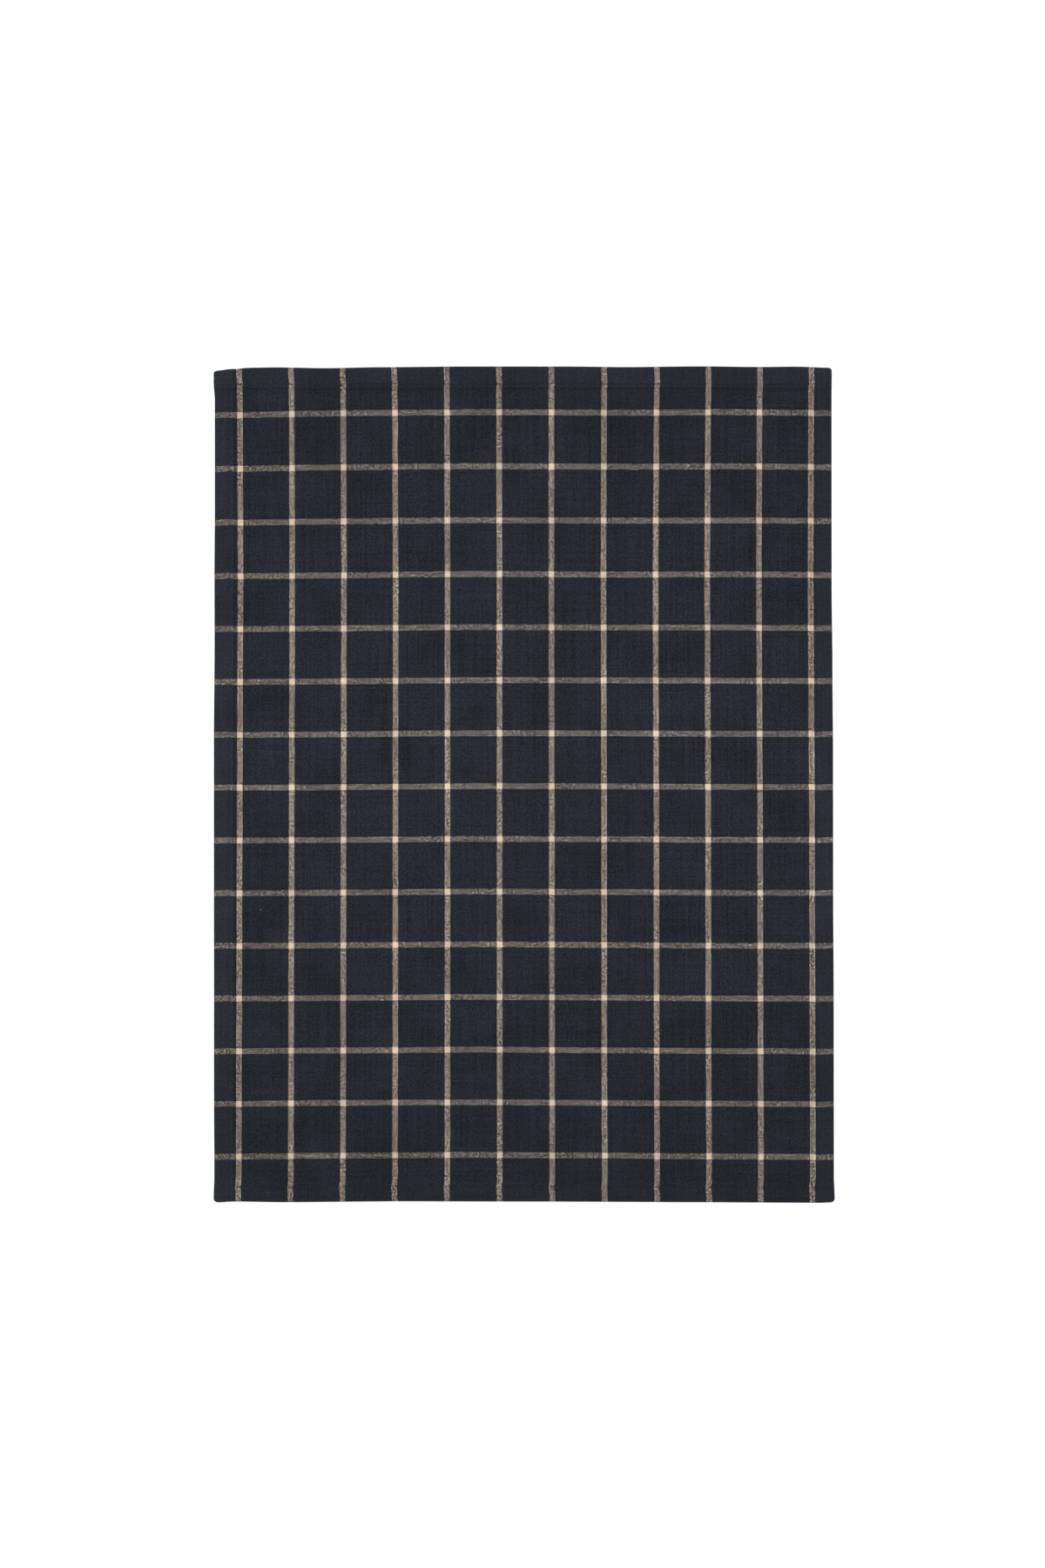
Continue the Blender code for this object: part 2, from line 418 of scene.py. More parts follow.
def both_turns(skin):
    """The straight place and level height of every crossing of lines, on one skin of the cloth."""
    columns = Lines(*(part[:, None] for part in across))
    rows = Lines(*(part[None, :] for part in along))
    on_face = rows.zone == FACE
    pressed = np.where(on_face, pressing(rows.value), 1.0)
    x, first = turned(
        columns, WIDTH / 2, skin, lambda at: side_stack(at, pressed), lambda at: one_layer(at, pressed)
    )
    share = first / side_stack(x, pressed)

    def sheet(y):
        """The side hem's layers as one sheet, pressed until three of them fit under the face."""
        pressed = np.where(on_face, pressing(y), 1.0)
        room = (level_top(x, y) - 2 * LAYER_GAP) / 3
        return side_stack(x, pressed) - pressed * np.maximum(0.0, side_stack(x, 1.0) - room)

    y, height = turned(rows, LENGTH / 2, share, lambda place: level_top(x, place), sheet)
    return x, y, height


print("under an end hem a side hem is pressed to", PRESSED_HEM / MM, "mm")

# %% [markdown]
# The swells of the face bend the turned cloth, and the thread pulls its layers together in a furrow, from
# above and a little from below.

# %% Swells and furrows on every layer
SEAM_LIFT = 0.25 * MM
FURROW_WIDTH = 0.9 * MM


def furrow(distance):
    return np.exp(-((distance / FURROW_WIDTH) ** 2))


def seam_lift(x, y):
    """How far the sewing lifts the underside off the table."""
    lines = [inward - hem.stitching for inward, hem in zip(inward_of(x, y), HEMS)]
    return SEAM_LIFT * np.max([furrow(line) for line in lines], axis=0)


def face_height(x, y):
    return level_top(x, y) + top_swell(x, y)


def settled(x, y, height):
    swollen = height * (1 + top_swell(x, y) / level_top(x, y))
    lift = seam_lift(x, y)
    return lift + swollen * (1 - lift / face_height(x, y))


skins = []
for skin in (0.0, 1.0):
    x, y, height = both_turns(skin)
    skins.append((x, y, settled(x, y, height)))
print(f"heights from {skins[0][2].min() / MM:.2f} to {skins[1][2].max() / MM:.2f} mm")

# %% [markdown]
# ## How the yarns really run
# The stripes of a real cloth bend: the wefts hump up in the middle of the towel and the warps lean where
# the hems are sewn. Two tables give how far the yarns lie off a ruled grid. The presser foot also drags
# the upper layers along every seam, clockwise round the towel, which puts a small kink in each stripe.
# Past the outer fold the weave runs on by the cloth's own flat distance.

# %% How far the yarns stray from a ruled grid
# All in millimetres: the places across the rows' columns, and in each row its own place first.
WARP_PLACES = (-238, -107, 0, 111, 242)
WARP_STRAY = (
    (-344, -1.1, -0.9, 0.15, 1.2, 0.5),
    (-325, -0.9, -0.7, 0.1, 1.2, 0.8),
    (-245, -0.7, -0.5, 0.0, 0.7, 0.6),
    (-25, 0.0, -0.3, -0.2, 0.4, 0.0),
    (175, 0.65, -0.2, -0.4, -0.25, -1.15),
    (325, 0.2, -0.8, -0.65, 0.7, -0.7),
    (343, -0.6, -1.5, -0.9, 0.9, -0.6),
)
WEFT_PLACES = (-311, -134, 0, 178, 312)
WEFT_STRAY = (
    (-253, -1.5, -2.8, -3.6, -4.4, -2.9),
    (-173, -0.6, -2.3, -3.3, -3.7, -1.3),
    (-42, 0.2, -1.3, -2.2, -2.4, -0.1),
    (89, -0.6, -2.0, -2.4, -2.9, -0.6),
    (177, -1.2, -2.7, -2.9, -2.7, -0.1),
    (252, -1.6, -2.5, -2.9, -3.2, -0.9),
)
print(f"{len(WARP_STRAY)} rows for the warps and {len(WEFT_STRAY)} for the wefts")

# %% [markdown]
# A table is read both ways, between its rows and between its columns. The kinks come on top: nothing at
# the outer fold, the whole drag at the thread and nothing further in.

# %% The place in the weave
# How far each seam drags the yarns along, how far the kink reaches to each side of the thread, and how
# much of it is left there on the outer side.
SEAM_DRAG = Sides(left=0.65 * MM, right=0.5 * MM, top=0.65 * MM, bottom=0.8 * MM)
KINK_REACH = 3.5 * MM
KINK_LEFT = 0.3
KINK_SOFTENING = 1.2 * MM
STRAY_SOFTENING = 16


def yarn_stray(rows, places, at_row, at_place):
    """How far the yarns stray at places, in metres."""
    row_places = [row[0] for row in rows]
    total = 0.0
    for number, row in enumerate(rows):
        weight = softened(row_places, np.eye(len(rows))[number], at_row / MM, STRAY_SOFTENING)
        total = total + weight * softened(places, row[1:], at_place / MM, STRAY_SOFTENING)
    return total * MM


def kink(hem, inward, drag):
    places = (0.0, hem.stitching - KINK_REACH, hem.stitching, hem.stitching + KINK_REACH)
    return drag * softened(places, (0.0, KINK_LEFT, 1.0, 0.0), inward, KINK_SOFTENING)


def woven_places():
    """The place in the weave at every crossing of lines."""
    face_x = np.clip(flat_x, -WIDTH / 2, WIDTH / 2)
    face_y = np.clip(flat_y, -LENGTH / 2, LENGTH / 2)
    real_x, real_y = strayed(*rounded(face_x, face_y))
    warp = yarn_stray(WARP_STRAY, WARP_PLACES, real_y, real_x)
    weft = yarn_stray(WEFT_STRAY, WEFT_PLACES, real_x, real_y)
    kinks = Sides(*map(kink, HEMS, inward_of(face_x, face_y), SEAM_DRAG))
    warp += kinks.top - kinks.bottom
    weft += kinks.left - kinks.right
    return flat_x + real_x - face_x - warp, flat_y + real_y - face_y - weft


flat_x, flat_y = np.meshgrid(across.flat, along.flat, indexing="ij")
woven_x, woven_y = woven_places()
middle_weft = float(np.interp(0, along.flat, woven_y[len(woven_y) // 2]))
print(f"the middle of the towel lies {middle_weft / MM:.1f} mm up the weave")

# %% [markdown]
# ## Places on the cloth
# The weave and the marks of the sewing follow the cloth, so every vertex has to know where it lies on it.
# UV maps hold that in metres: one the place in the weave, one the straight place in the plan. A third lays
# the towel out on a square, for painting it onto an image: each skin whole, the face on the larger part,
# and the raw edge on a rim around the face.

# %% Meshes and their UV maps
FACE_PART = 0.7
RIM_FILL = 0.99
# The start, width and fill of the wrong side, laid out as it looks from below, of the face and of the rim.
LAYOUT = ((1.0, FACE_PART - 1.0, RIM_FILL), (0.0, FACE_PART, RIM_FILL), (0.0, FACE_PART, 1.0))


def new_mesh(name, points, faces):
    mesh = bpy.data.meshes.new(name)
    mesh.from_pydata(points, [], faces)
    return mesh


def add_object(name, data):
    """Puts a new object into the scene."""
    added = bpy.data.objects.new(name, data)
    bpy.context.scene.collection.objects.link(added)
    return added


def corner_vertices(mesh):
    """The vertex at each corner of each face."""
    corners = np.empty(len(mesh.loops), np.int32)
    mesh.loops.foreach_get("vertex_index", corners)
    return corners


def uv_map(mesh, name, u, v, corners):
    """A UV map from lists of u and v, and the place in those lists for each corner."""
    layer = mesh.uv_layers.new(name=name)
    layer.data.foreach_set("uv", np.column_stack([u[corners], v[corners]]).astype(np.float32).ravel())


def lay_out(mesh, edge_corners):
    """The layout on a square. The last corners of the mesh are those of the raw edge."""
    in_x = (flat_x - across.flat[0]).ravel() / CUT_WIDTH - 0.5
    in_y = (flat_y - along.flat[0]).ravel() / CUT_LENGTH - 0.5
    u = np.concatenate([start + width * (in_x * fill + 0.5) for start, width, fill in LAYOUT])
    v = np.concatenate([in_y * fill + 0.5 for _, _, fill in LAYOUT])
    corners = corner_vertices(mesh)
    on_edge = corners[-edge_corners:]
    on_edge[on_edge < in_x.size] += 2 * in_x.size
    uv_map(mesh, "OFBake", u, v, corners)


print(f"the face takes up {FACE_PART:.0%} of the layout")

# %% [markdown]
# ## The cloth's mesh
# Two skins, joined along the four raw edges, make one closed body. Each vertex also says whether it lies
# on the wrong side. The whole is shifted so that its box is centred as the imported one.

# %% Building the cloth
def cloth_faces(columns, rows):
    """The quads of both skins and of the raw edge that joins them, and how many corners the edge has."""
    low = np.arange(columns * rows).reshape(columns, rows)
    quads = np.stack([low[:-1, :-1], low[1:, :-1], low[1:, 1:], low[:-1, 1:]], axis=-1).reshape(-1, 4)
    ring = np.concatenate([low[:-1, 0], low[-1, :-1], low[:0:-1, -1], low[0, :0:-1]])
    after = np.roll(ring, -1)
    strip = np.stack([ring, after, after + low.size, ring + low.size], axis=-1)
    return np.concatenate([quads[:, ::-1], quads + low.size, strip]), strip.size


def cloth_places():
    """The real place of every vertex, the lower skin first."""
    places = []
    for x, y, height in skins:
        real_x, real_y = strayed(*rounded(x, y))
        places.append(np.column_stack([real_x.ravel(), real_y.ravel(), height.ravel()]))
    return np.concatenate(places)


def build_cloth():
    places = cloth_places()
    faces, edge_corners = cloth_faces(len(across.zone), len(along.zone))
    middle = (places.min(axis=0) + places.max(axis=0)) / 2
    shift = np.array([(cloth_box[0][n] + cloth_box[1][n]) / 2 - middle[n] for n in (0, 1)] + [0.0])
    mesh = new_mesh("twill_cloth", (places + shift).tolist(), faces.tolist())
    corners = corner_vertices(mesh)
    uv_map(mesh, "weave", np.tile(woven_x.ravel(), 2), np.tile(woven_y.ravel(), 2), corners)
    plan_x, plan_y = (np.concatenate([skin[n].ravel() for skin in skins]) for n in (0, 1))
    uv_map(mesh, "plan", plan_x, plan_y, corners)
    lay_out(mesh, edge_corners)
    wrong_side = mesh.attributes.new("wrong_side", "FLOAT", "POINT")
    wrong_side.data.foreach_set("value", np.repeat([1.0, 0.0], len(places) // 2).astype(np.float32))
    mesh.shade_smooth()
    return add_object("twill_cloth", mesh), shift


cloth, to_frame = build_cloth()
print(f"cloth of {2 * len(cloth.data.polygons)} triangles, shifted by"
      f" {to_frame[0] / MM:.2f} and {to_frame[1] / MM:.2f} mm")

# %% [markdown]
# ## The sewing
# Each hem is closed by one lockstitch line, run the full length of its side. From above it is a row of
# short floats that dive into the cloth at every needle hole, and the bobbin thread does the same below.
# A bevelled curve would pinch where it dives, so each thread is a tube made ring by ring.

# %% Thread and stitch
STITCH = 2.8 * MM
THREAD_RADIUS = 0.2 * MM
THREAD_SIDES = 6
# Places along one stitch, from hole to hole, and how deep the thread dives there, as a share of DIVE.
RINGS_ALONG = np.array([0.00, 0.06, 0.13, 0.28, 0.50, 0.72, 0.87, 0.94])
RINGS_DIVE = (1.0, 0.75, 0.22, 0.02, 0.0, 0.02, 0.22, 0.75)
DIVE = 0.62 * MM
# How far the upper thread's middle stands over the furrow, how far the lower thread is off the table, and
# how far each float slants. A needle wanders too, in one long wave and one short one.
THREAD_PROUD = 0.09 * MM
THREAD_CLEAR = 0.01 * MM
SLANT = 0.11 * MM
WANDER = 0.12 * MM
LONG_WAVE = 47 * MM
SHORT_WAVE = 19 * MM

Seam = namedtuple("Seam", "name hem side upright stitches")
SEAMS = (
    Seam("left_hem_sewing", HEMS.left, -1, True, 248),
    Seam("right_hem_sewing", HEMS.right, 1, True, 248),
    Seam("top_hem_sewing", HEMS.top, 1, False, 184),
    Seam("bottom_hem_sewing", HEMS.bottom, -1, False, 184),
)


def seam_line(seam):
    """The distance of each ring along the seam, its sideways slant and its dive."""
    holes = np.arange(seam.stitches) - seam.stitches / 2
    distance = (holes[:, None] + RINGS_ALONG[None, :]).ravel() * STITCH
    slant = np.tile(SLANT * (RINGS_ALONG - 0.5), seam.stitches)
    dive = np.tile(RINGS_DIVE, seam.stitches)
    end = seam.stitches / 2 * STITCH
    return np.append(distance, end), np.append(slant, 0.0), np.append(dive, 1.0)


def thread_path(seam, upper):
    """The middle of one thread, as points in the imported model's frame."""
    distance, slant, dive = seam_line(seam)
    waves = np.sin(distance / LONG_WAVE + seam.stitches) + np.sin(distance / SHORT_WAVE)
    half = (WIDTH if seam.upright else LENGTH) / 2
    aside = seam.side * (half - seam.hem.stitching) + slant + WANDER * waves / 2
    x, y = (aside, distance) if seam.upright else (distance, aside)
    if upper:
        height = face_height(x, y) + THREAD_PROUD - DIVE * dive
    else:
        height = THREAD_RADIUS + THREAD_CLEAR + DIVE * dive
    real_x, real_y = strayed(x, y)
    return np.column_stack([real_x, real_y, height]) + to_frame


print(sum(seam.stitches for seam in SEAMS), "stitches of", STITCH / MM, "mm on each side")

# %% [markdown]
# A tube needs a frame at each ring: the thread's own direction, a level one and the one square to both.
# The UV map runs along the thread in metres and once around it, for the twist.

# %% The tube
def tube(path, sideways):
    """The rings of a thread round its path, and their faces with closed ends."""
    direction = np.gradient(path, axis=0)
    direction /= np.linalg.norm(direction, axis=1, keepdims=True)
    up = np.cross(direction, sideways)
    up /= np.linalg.norm(up, axis=1, keepdims=True)
    turns = 2 * np.pi * np.arange(THREAD_SIDES) / THREAD_SIDES
    out = np.cos(turns)[:, None] * sideways + np.sin(turns)[:, None] * up[:, None]
    rings = path[:, None] + THREAD_RADIUS * out
    number = np.arange(len(path) * THREAD_SIDES).reshape(len(path), THREAD_SIDES)
    after = np.roll(number, -1, axis=1)
    quads = np.stack([number[:-1], number[1:], after[1:], after[:-1]], axis=-1).reshape(-1, 4).tolist()
    ends = [number[0].tolist(), number[-1, ::-1].tolist()]
    return rings.reshape(-1, 3), quads + ends


def build_sewing(seam):
    """Both threads of a hem as one piece."""
    sideways = np.array([-1.0, 0.0, 0.0] if seam.upright else [0.0, 1.0, 0.0])
    points, faces, run = [], [], []
    for upper in (True, False):
        path = thread_path(seam, upper)
        rings, ring_faces = tube(path, sideways)
        start = len(points) * len(rings)
        points.append(rings)
        faces += [[corner + start for corner in face] for face in ring_faces]
        length = np.append(0.0, np.cumsum(np.linalg.norm(np.diff(path, axis=0), axis=1)))
        run.append(np.repeat(length, THREAD_SIDES))
    around = np.tile(np.arange(THREAD_SIDES) / THREAD_SIDES, 2 * len(path))
    mesh = new_mesh(seam.name, np.concatenate(points).tolist(), faces)
    uv_map(mesh, "thread", np.concatenate(run), around, corner_vertices(mesh))
    mesh.shade_smooth()
    return add_object(seam.name, mesh)


sewings = [build_sewing(seam) for seam in SEAMS]
print("sewing of", sum(2 * len(sewing.data.polygons) for sewing in sewings), "triangles in all")

# %% [markdown]
# ## Writing shader maths as Python
# The weave needs a lot of arithmetic, and wiring it by hand hides the idea. `Wire` wraps a node's output
# socket, so that `1 - mask` adds the Math node it needs. Its method `node` adds any other.

# %% A wire that knows arithmetic
def maths(operation, swapped=False):
    """A method that adds one Math node, with its values swapped for `1 - wire`."""

    def method(self, *other):
        values = (*other, self) if swapped else (self, *other)
        return self.node("Math", {"operation": operation}, dict(enumerate(values)))

    return method


class Wire:
    """One output socket in a material's tree, on which Python's operators work."""

    __add__ = __radd__ = maths("ADD")
    __sub__ = maths("SUBTRACT")
    __rsub__ = maths("SUBTRACT", swapped=True)
    __mul__ = __rmul__ = maths("MULTIPLY")
    __truediv__ = maths("DIVIDE")
    __mod__ = maths("FLOORED_MODULO")
    __lt__ = maths("LESS_THAN")
    __abs__ = maths("ABSOLUTE")
    floor = maths("FLOOR")
    cosine = maths("COSINE")
    root = maths("SQRT")

    def __init__(self, tree, socket=None):
        self.tree = tree
        self.socket = socket

    def fill(self, node, sockets):
        """Gives a node's sockets their values or wires."""
        for name, value in sockets.items():
            if isinstance(value, Wire):
                self.tree.links.new(value.socket, node.inputs[name])
            else:
                node.inputs[name].default_value = value

    def node(self, kind, settings, sockets, output=0):
        """Adds a node, sets it up, fills its sockets and returns the wire of one output."""
        node = self.tree.nodes.new("ShaderNode" + kind)
        for name, value in settings.items():
            setattr(node, name, value)
        self.fill(node, sockets)
        return Wire(self.tree, node.outputs[output])

    def clamped(self):
        """Held between 0 and 1."""
        return self.node("Clamp", {}, {"Value": self})

    def split(self):
        """The X and Y of a vector."""
        return [self.node("SeparateXYZ", {}, {"Vector": self}, axis) for axis in ("X", "Y")]


print("a wire can be added, scaled, compared and split")

# %% [markdown]
# The other tools are short: a material to start from, a UV map's two numbers, noise and dice, which both
# give values around 0, and mixing.

# %% Helpers for materials
def start_material(name):
    """A new material, its wire to start from and its Principled shader."""
    material = bpy.data.materials.new(name)
    material.use_nodes = True
    tree = material.node_tree
    return material, Wire(tree), tree.nodes["Principled BSDF"]


def uv_places(start, name):
    return start.node("UVMap", {"uv_map": name}, {}, "UV").split()


def noise(x, y, scale, detail=2.0):
    """Soft noise from -0.5 to 0.5, with about `scale` lumps to a metre or to a step of x."""
    place = x.node("CombineXYZ", {}, {"X": x, "Y": y})
    sockets = {"Vector": place, "Scale": scale, "Detail": detail}
    return x.node("TexNoise", {"noise_dimensions": "2D"}, sockets) - 0.5


def dice(number, seed):
    """One random value from -0.5 to 0.5 for each whole number."""
    return number.node("TexWhiteNoise", {"noise_dimensions": "1D"}, {"W": number + seed}, "Value") - 0.5


def pick(factor, first, second):
    """The first number where factor is 0, the second where it is 1, and a mix between."""
    return first + factor * (second - first)


def blend(factor, first, second):
    """The same for two colours."""
    return factor.node("Mix", {"data_type": "RGBA"}, {0: factor, 6: first, 7: second}, 2)


print("helpers ready")

# %% [markdown]
# ## The twill, yarn by yarn
# Every warp yarn goes over two wefts and under two, and each neighbour starts one pick later, which draws
# the fine diagonal. Of every 114 warps 12 are beige, and of every 120 wefts 13: that is the whole check.
# The two sets of yarns get a height each, the higher one shows, and its number says its colour.

# %% The weave's counts
# One repeat of the check in metres and in yarns, how many of those are beige, how far the middle of one
# beige stripe lies from the towel's middle, and a seed for the yarns' floats.
YarnSet = namedtuple("YarnSet", "repeat count beige stripe seed")
WARPS = YarnSet(43.58 * MM, 114, 12, 2.0 * MM + 43.58 * MM / 2, 1.0)
WEFTS = YarnSet(44.46 * MM, 120, 13, 0.5 * MM, 2.0)
# The yarns' heights in units of the relief: how round each is, how far it rises and dips over the others,
# how much the warps stand out on the face, and how much one float differs from the next.
ROUNDNESS = 0.45
RISE_AND_DIP = 0.25
WARP_PROUD = 0.12
FLOAT_PROUD = 0.4
# Twill over two and under two repeats after four yarns.
TWILL_REPEAT = 4
YARN_WANDER = 0.44 * MM
BENDS = 70.0
# How far off a second noise is read, so that it has nothing in common with the first.
SECOND_BEND = 3.1
SECOND_FLECK = 1.7
for yarns in (WARPS, WEFTS):
    print(f"{yarns.beige} yarns of {yarns.count} beige, {yarns.repeat / yarns.count / MM:.3f} mm apart")

# %% [markdown]
# Dividing a place by a yarn's width counts the yarns that have passed, and the whole part is the number of
# the yarn that lies there. A yarn is round across, and it rises and dips along its length.

# %% Yarn numbers and heights
Yarn = namedtuple("Yarn", "passed number dice")


def passed_at(place, yarns):
    """How many yarns of a set have passed at a place, from the first beige one."""
    width = yarns.repeat / yarns.count
    return (place - (yarns.stripe - yarns.beige / 2 * width)) / width


def float_dice(passed, number, seed):
    """A random value around 0 for each float of a yarn, which changes where the yarn is hidden."""
    float_number = ((passed + number + 1) / TWILL_REPEAT).floor()
    place = number.node("CombineXYZ", {}, {"X": number, "Y": float_number, "Z": seed})
    return number.node("TexWhiteNoise", {"noise_dimensions": "3D"}, {"Vector": place}, "Value") - 0.5


def yarns_at(x, y):
    """The warp and the weft at a place in the weave."""
    warps = passed_at(x + noise(x, y, BENDS) * YARN_WANDER, WARPS)
    wefts = passed_at(y + noise(x + SECOND_BEND, y, BENDS) * YARN_WANDER, WEFTS)
    warp, weft = warps.floor(), wefts.floor()
    return (
        Yarn(warps, warp, float_dice(wefts, warp, WARPS.seed)),
        Yarn(wefts, weft, float_dice(warps, weft, WEFTS.seed)),
    )


def crown(yarn):
    """How high a round yarn stands over its own edges."""
    off_middle = yarn.passed - yarn.number - 0.5
    return ROUNDNESS * (1 - 4 * (off_middle * off_middle))


def over_and_under(yarn, crossed):
    """A yarn's rise over two and dip under two of the yarns that cross it."""
    return RISE_AND_DIP * ((crossed.passed + yarn.number - 1) * (2 * np.pi / TWILL_REPEAT)).cosine()


def yarn_heights(warp, weft):
    """How high the warp and the weft stand. On the wrong side they change places."""
    wrong_side = warp.number.node("Attribute", {"attribute_name": "wrong_side"}, {}, "Fac")
    showing = 1 - 2 * wrong_side
    warp_height = crown(warp) + showing * (over_and_under(warp, weft) + WARP_PROUD) + warp.dice * FLOAT_PROUD
    weft_height = crown(weft) - showing * over_and_under(weft, warp) + weft.dice * FLOAT_PROUD
    return warp_height, weft_height


print("a yarn rises and dips by", RISE_AND_DIP, "and is", ROUNDNESS, "round")

# %% [markdown]
# Cotton yarn isn't even. Each yarn has its own depth of dye, and along it thick and thin places come and
# go. The warps differ more from one to the next than the wefts do, which draws the real cloth's fine
# upright streaks.

# %% Colours
NAVY = (0.0149, 0.0180, 0.0274, 1.0)
# The beige warps are a little pinker than the beige wefts, from another dye.
WARP_BEIGE = (0.665, 0.530, 0.417, 1.0)
WEFT_BEIGE = (0.641, 0.525, 0.415, 1.0)
# Where both are beige, light bounces between them and comes out warmer.
CROSSING_BEIGE = (0.735, 0.580, 0.425, 1.0)
# How much the tone varies from yarn to yarn, from band to band of neighbours and along a yarn.
Variation = namedtuple("Variation", "own band slub seed")
WARP_TONE = Variation(0.40, 0.85, 0.45, 11.0)
WEFT_TONE = Variation(0.25, 1.00, 0.45, 53.0)
# Bands to a yarn, lumps to a metre along a band and a yarn, and how far apart neighbours' slubs are read.
BAND_OF_YARNS = 0.22
BAND_LUMPS = 12.0
SLUBS = 210.0
SLUB_STEP = 7.31
# Flecks to a metre, how much they change the tone, and how much they help one yarn to hide the other.
FLECKS = 700.0
FLECK_TONE = 1.35
FLECK_SHIFT = 1.9
# How much one float differs from the next. On the beige the yarns are more alike, but the floats stand
# out more. Where both yarns are beige, all is calmer.
FLOAT_TONE = 0.5
CALM_BEIGE = 0.5
LIVELY_FLOATS = 0.5
CALM_CROSSING = 0.75
# Broad clouds of tone over the cloth.
CLOUDS = 22.0
CLOUD_TONE = 0.6
print("colours chosen")

# %% [markdown]
# The higher yarn shows. How beige a place is comes from that yarn and from what the gap beside it throws
# back, and its tone is a sum of chances.

# %% Which yarn shows, how beige it is and its tone
# How sharply one yarn's colour ends at the other's. Where they meet, it runs to that of the gap over this
# difference of height. The gap is a little beige for each beige yarn and fully beige between two.
YARN_EDGE = 12
GAP_HEIGHT = 0.87
GAP_BEIGE = 0.08
Shown = namedtuple("Shown", "warp height beige both_beige")


def is_beige(yarn, yarns):
    return (yarn.number % yarns.count) < yarns.beige - 0.5


def shown_at(x, y, warp, weft):
    """What is on top: how far it is the warp, its height, how beige it is, and whether both yarns are."""
    warp_height, weft_height = yarn_heights(warp, weft)
    difference = warp_height - weft_height + noise(x + SECOND_FLECK, y, FLECKS, detail=1.0) * FLECK_SHIFT
    warp_shows = (difference * YARN_EDGE + 0.5).clamped()
    gap = (1 - abs(difference) / GAP_HEIGHT).clamped()
    beige_warp, beige_weft = is_beige(warp, WARPS), is_beige(weft, WEFTS)
    both_beige = beige_warp * beige_weft
    gap_beige = (beige_warp + beige_weft) * GAP_BEIGE + both_beige * (1 - 2 * GAP_BEIGE)
    beige = pick(gap, pick(warp_shows, beige_weft, beige_warp), gap_beige)
    return Shown(warp_shows, pick(warp_shows, weft_height, warp_height), beige, both_beige)


def yarn_tone(number, run, spread):
    """How far one yarn is off the usual tone: its own dye, its neighbours' band and its slubs."""
    own = dice(number, spread.seed) * spread.own
    band = noise(number * BAND_OF_YARNS + spread.seed, run * BAND_LUMPS, 1.0, detail=1.0) * spread.band
    lumps = noise(number * SLUB_STEP + spread.seed, run * SLUBS, 1.0)
    return own + band + lumps * spread.slub


def cloth_tone(x, y, warp, weft, shown):
    """The tone of a place around 1: its yarn, its float, its fleck and its cloud."""
    warp_tone, weft_tone = yarn_tone(warp.number, y, WARP_TONE), yarn_tone(weft.number, x, WEFT_TONE)
    own_tone = pick(shown.warp, weft_tone, warp_tone)
    float_tone = pick(shown.warp, weft.dice, warp.dice) * FLOAT_TONE
    liveliness = 1 - shown.both_beige * CALM_CROSSING
    yarn_share, float_share = 1 - shown.beige * CALM_BEIGE, 1 + shown.beige * LIVELY_FLOATS
    tone = 1 + (own_tone * yarn_share + float_tone * float_share) * liveliness
    tone = tone * (1 + noise(x, y, FLECKS, detail=1.0) * liveliness * FLECK_TONE)
    return tone * (1 + noise(x, y, CLOUDS) * CLOUD_TONE)


print("a fleck changes the tone by up to", FLECK_TONE / 2)

# %% [markdown]
# ## What the hems do to the look
# Over the hems the cloth looks a touch lighter and dustier: partly dust, because its turned layers stand up
# and rub, and partly painted light on those raised layers. A painted highlight lies on the rim along the
# outer fold, and just inside, a line of painted shade shows where a hem runs out. The thread is navy too, so
# it only shows where it crosses the beige, as a dark tick widened by painted shade of the furrow, with a
# dimple and painted shade at every hole.

# %% Marks along the hems
# Dust is partly painted light, the rim is a painted highlight, the fold line is painted shade and the tick
# is painted shade of the sewing's furrow on the beige. The bottom hem's inner fold faces the light, so its
# line is a painted highlight instead of painted shade.
HemLook = namedtuple("HemLook", "dust rim fold_line tick")
HEM_LOOKS = Sides(
    left=HemLook(0.016, 0.012, 0.20, 0.55),
    right=HemLook(0.012, 0.0, 0.24, 0.15),
    top=HemLook(0.010, 0.020, 0.24, 0.45),
    bottom=HemLook(0.006, 0.008, -0.08, 0.35),
)
# The colour of the hems' dust and painted light, and how far the painted highlight reaches in from the outer
# fold.
DUST_AND_LIGHT_COLOUR = (0.36, 0.38, 0.46, 1.0)
RIM_HIGHLIGHT_REACH = 5.5 * MM
# Over what width the dust and painted light end at the inner fold, and where the line of painted shade lies
# inside that.
DUST_AND_LIGHT_FADE = 1.2 * MM
FOLD_SHADING_PLACE = 0.7 * MM
FOLD_SHADING_HALF_WIDTH = 1.5 * MM
# The half width of a tick's painted shade, and the painted shade and radius of a needle hole.
TICK_SHADE_HALF_WIDTH = 0.7 * MM
HOLE_SHADE = 0.35
HOLE_RADIUS = 0.62 * MM


def band(distance, middle, half_width):
    """1 on a line, falling to 0 at half_width to either side."""
    return (1 - abs(distance - middle) / half_width).clamped()


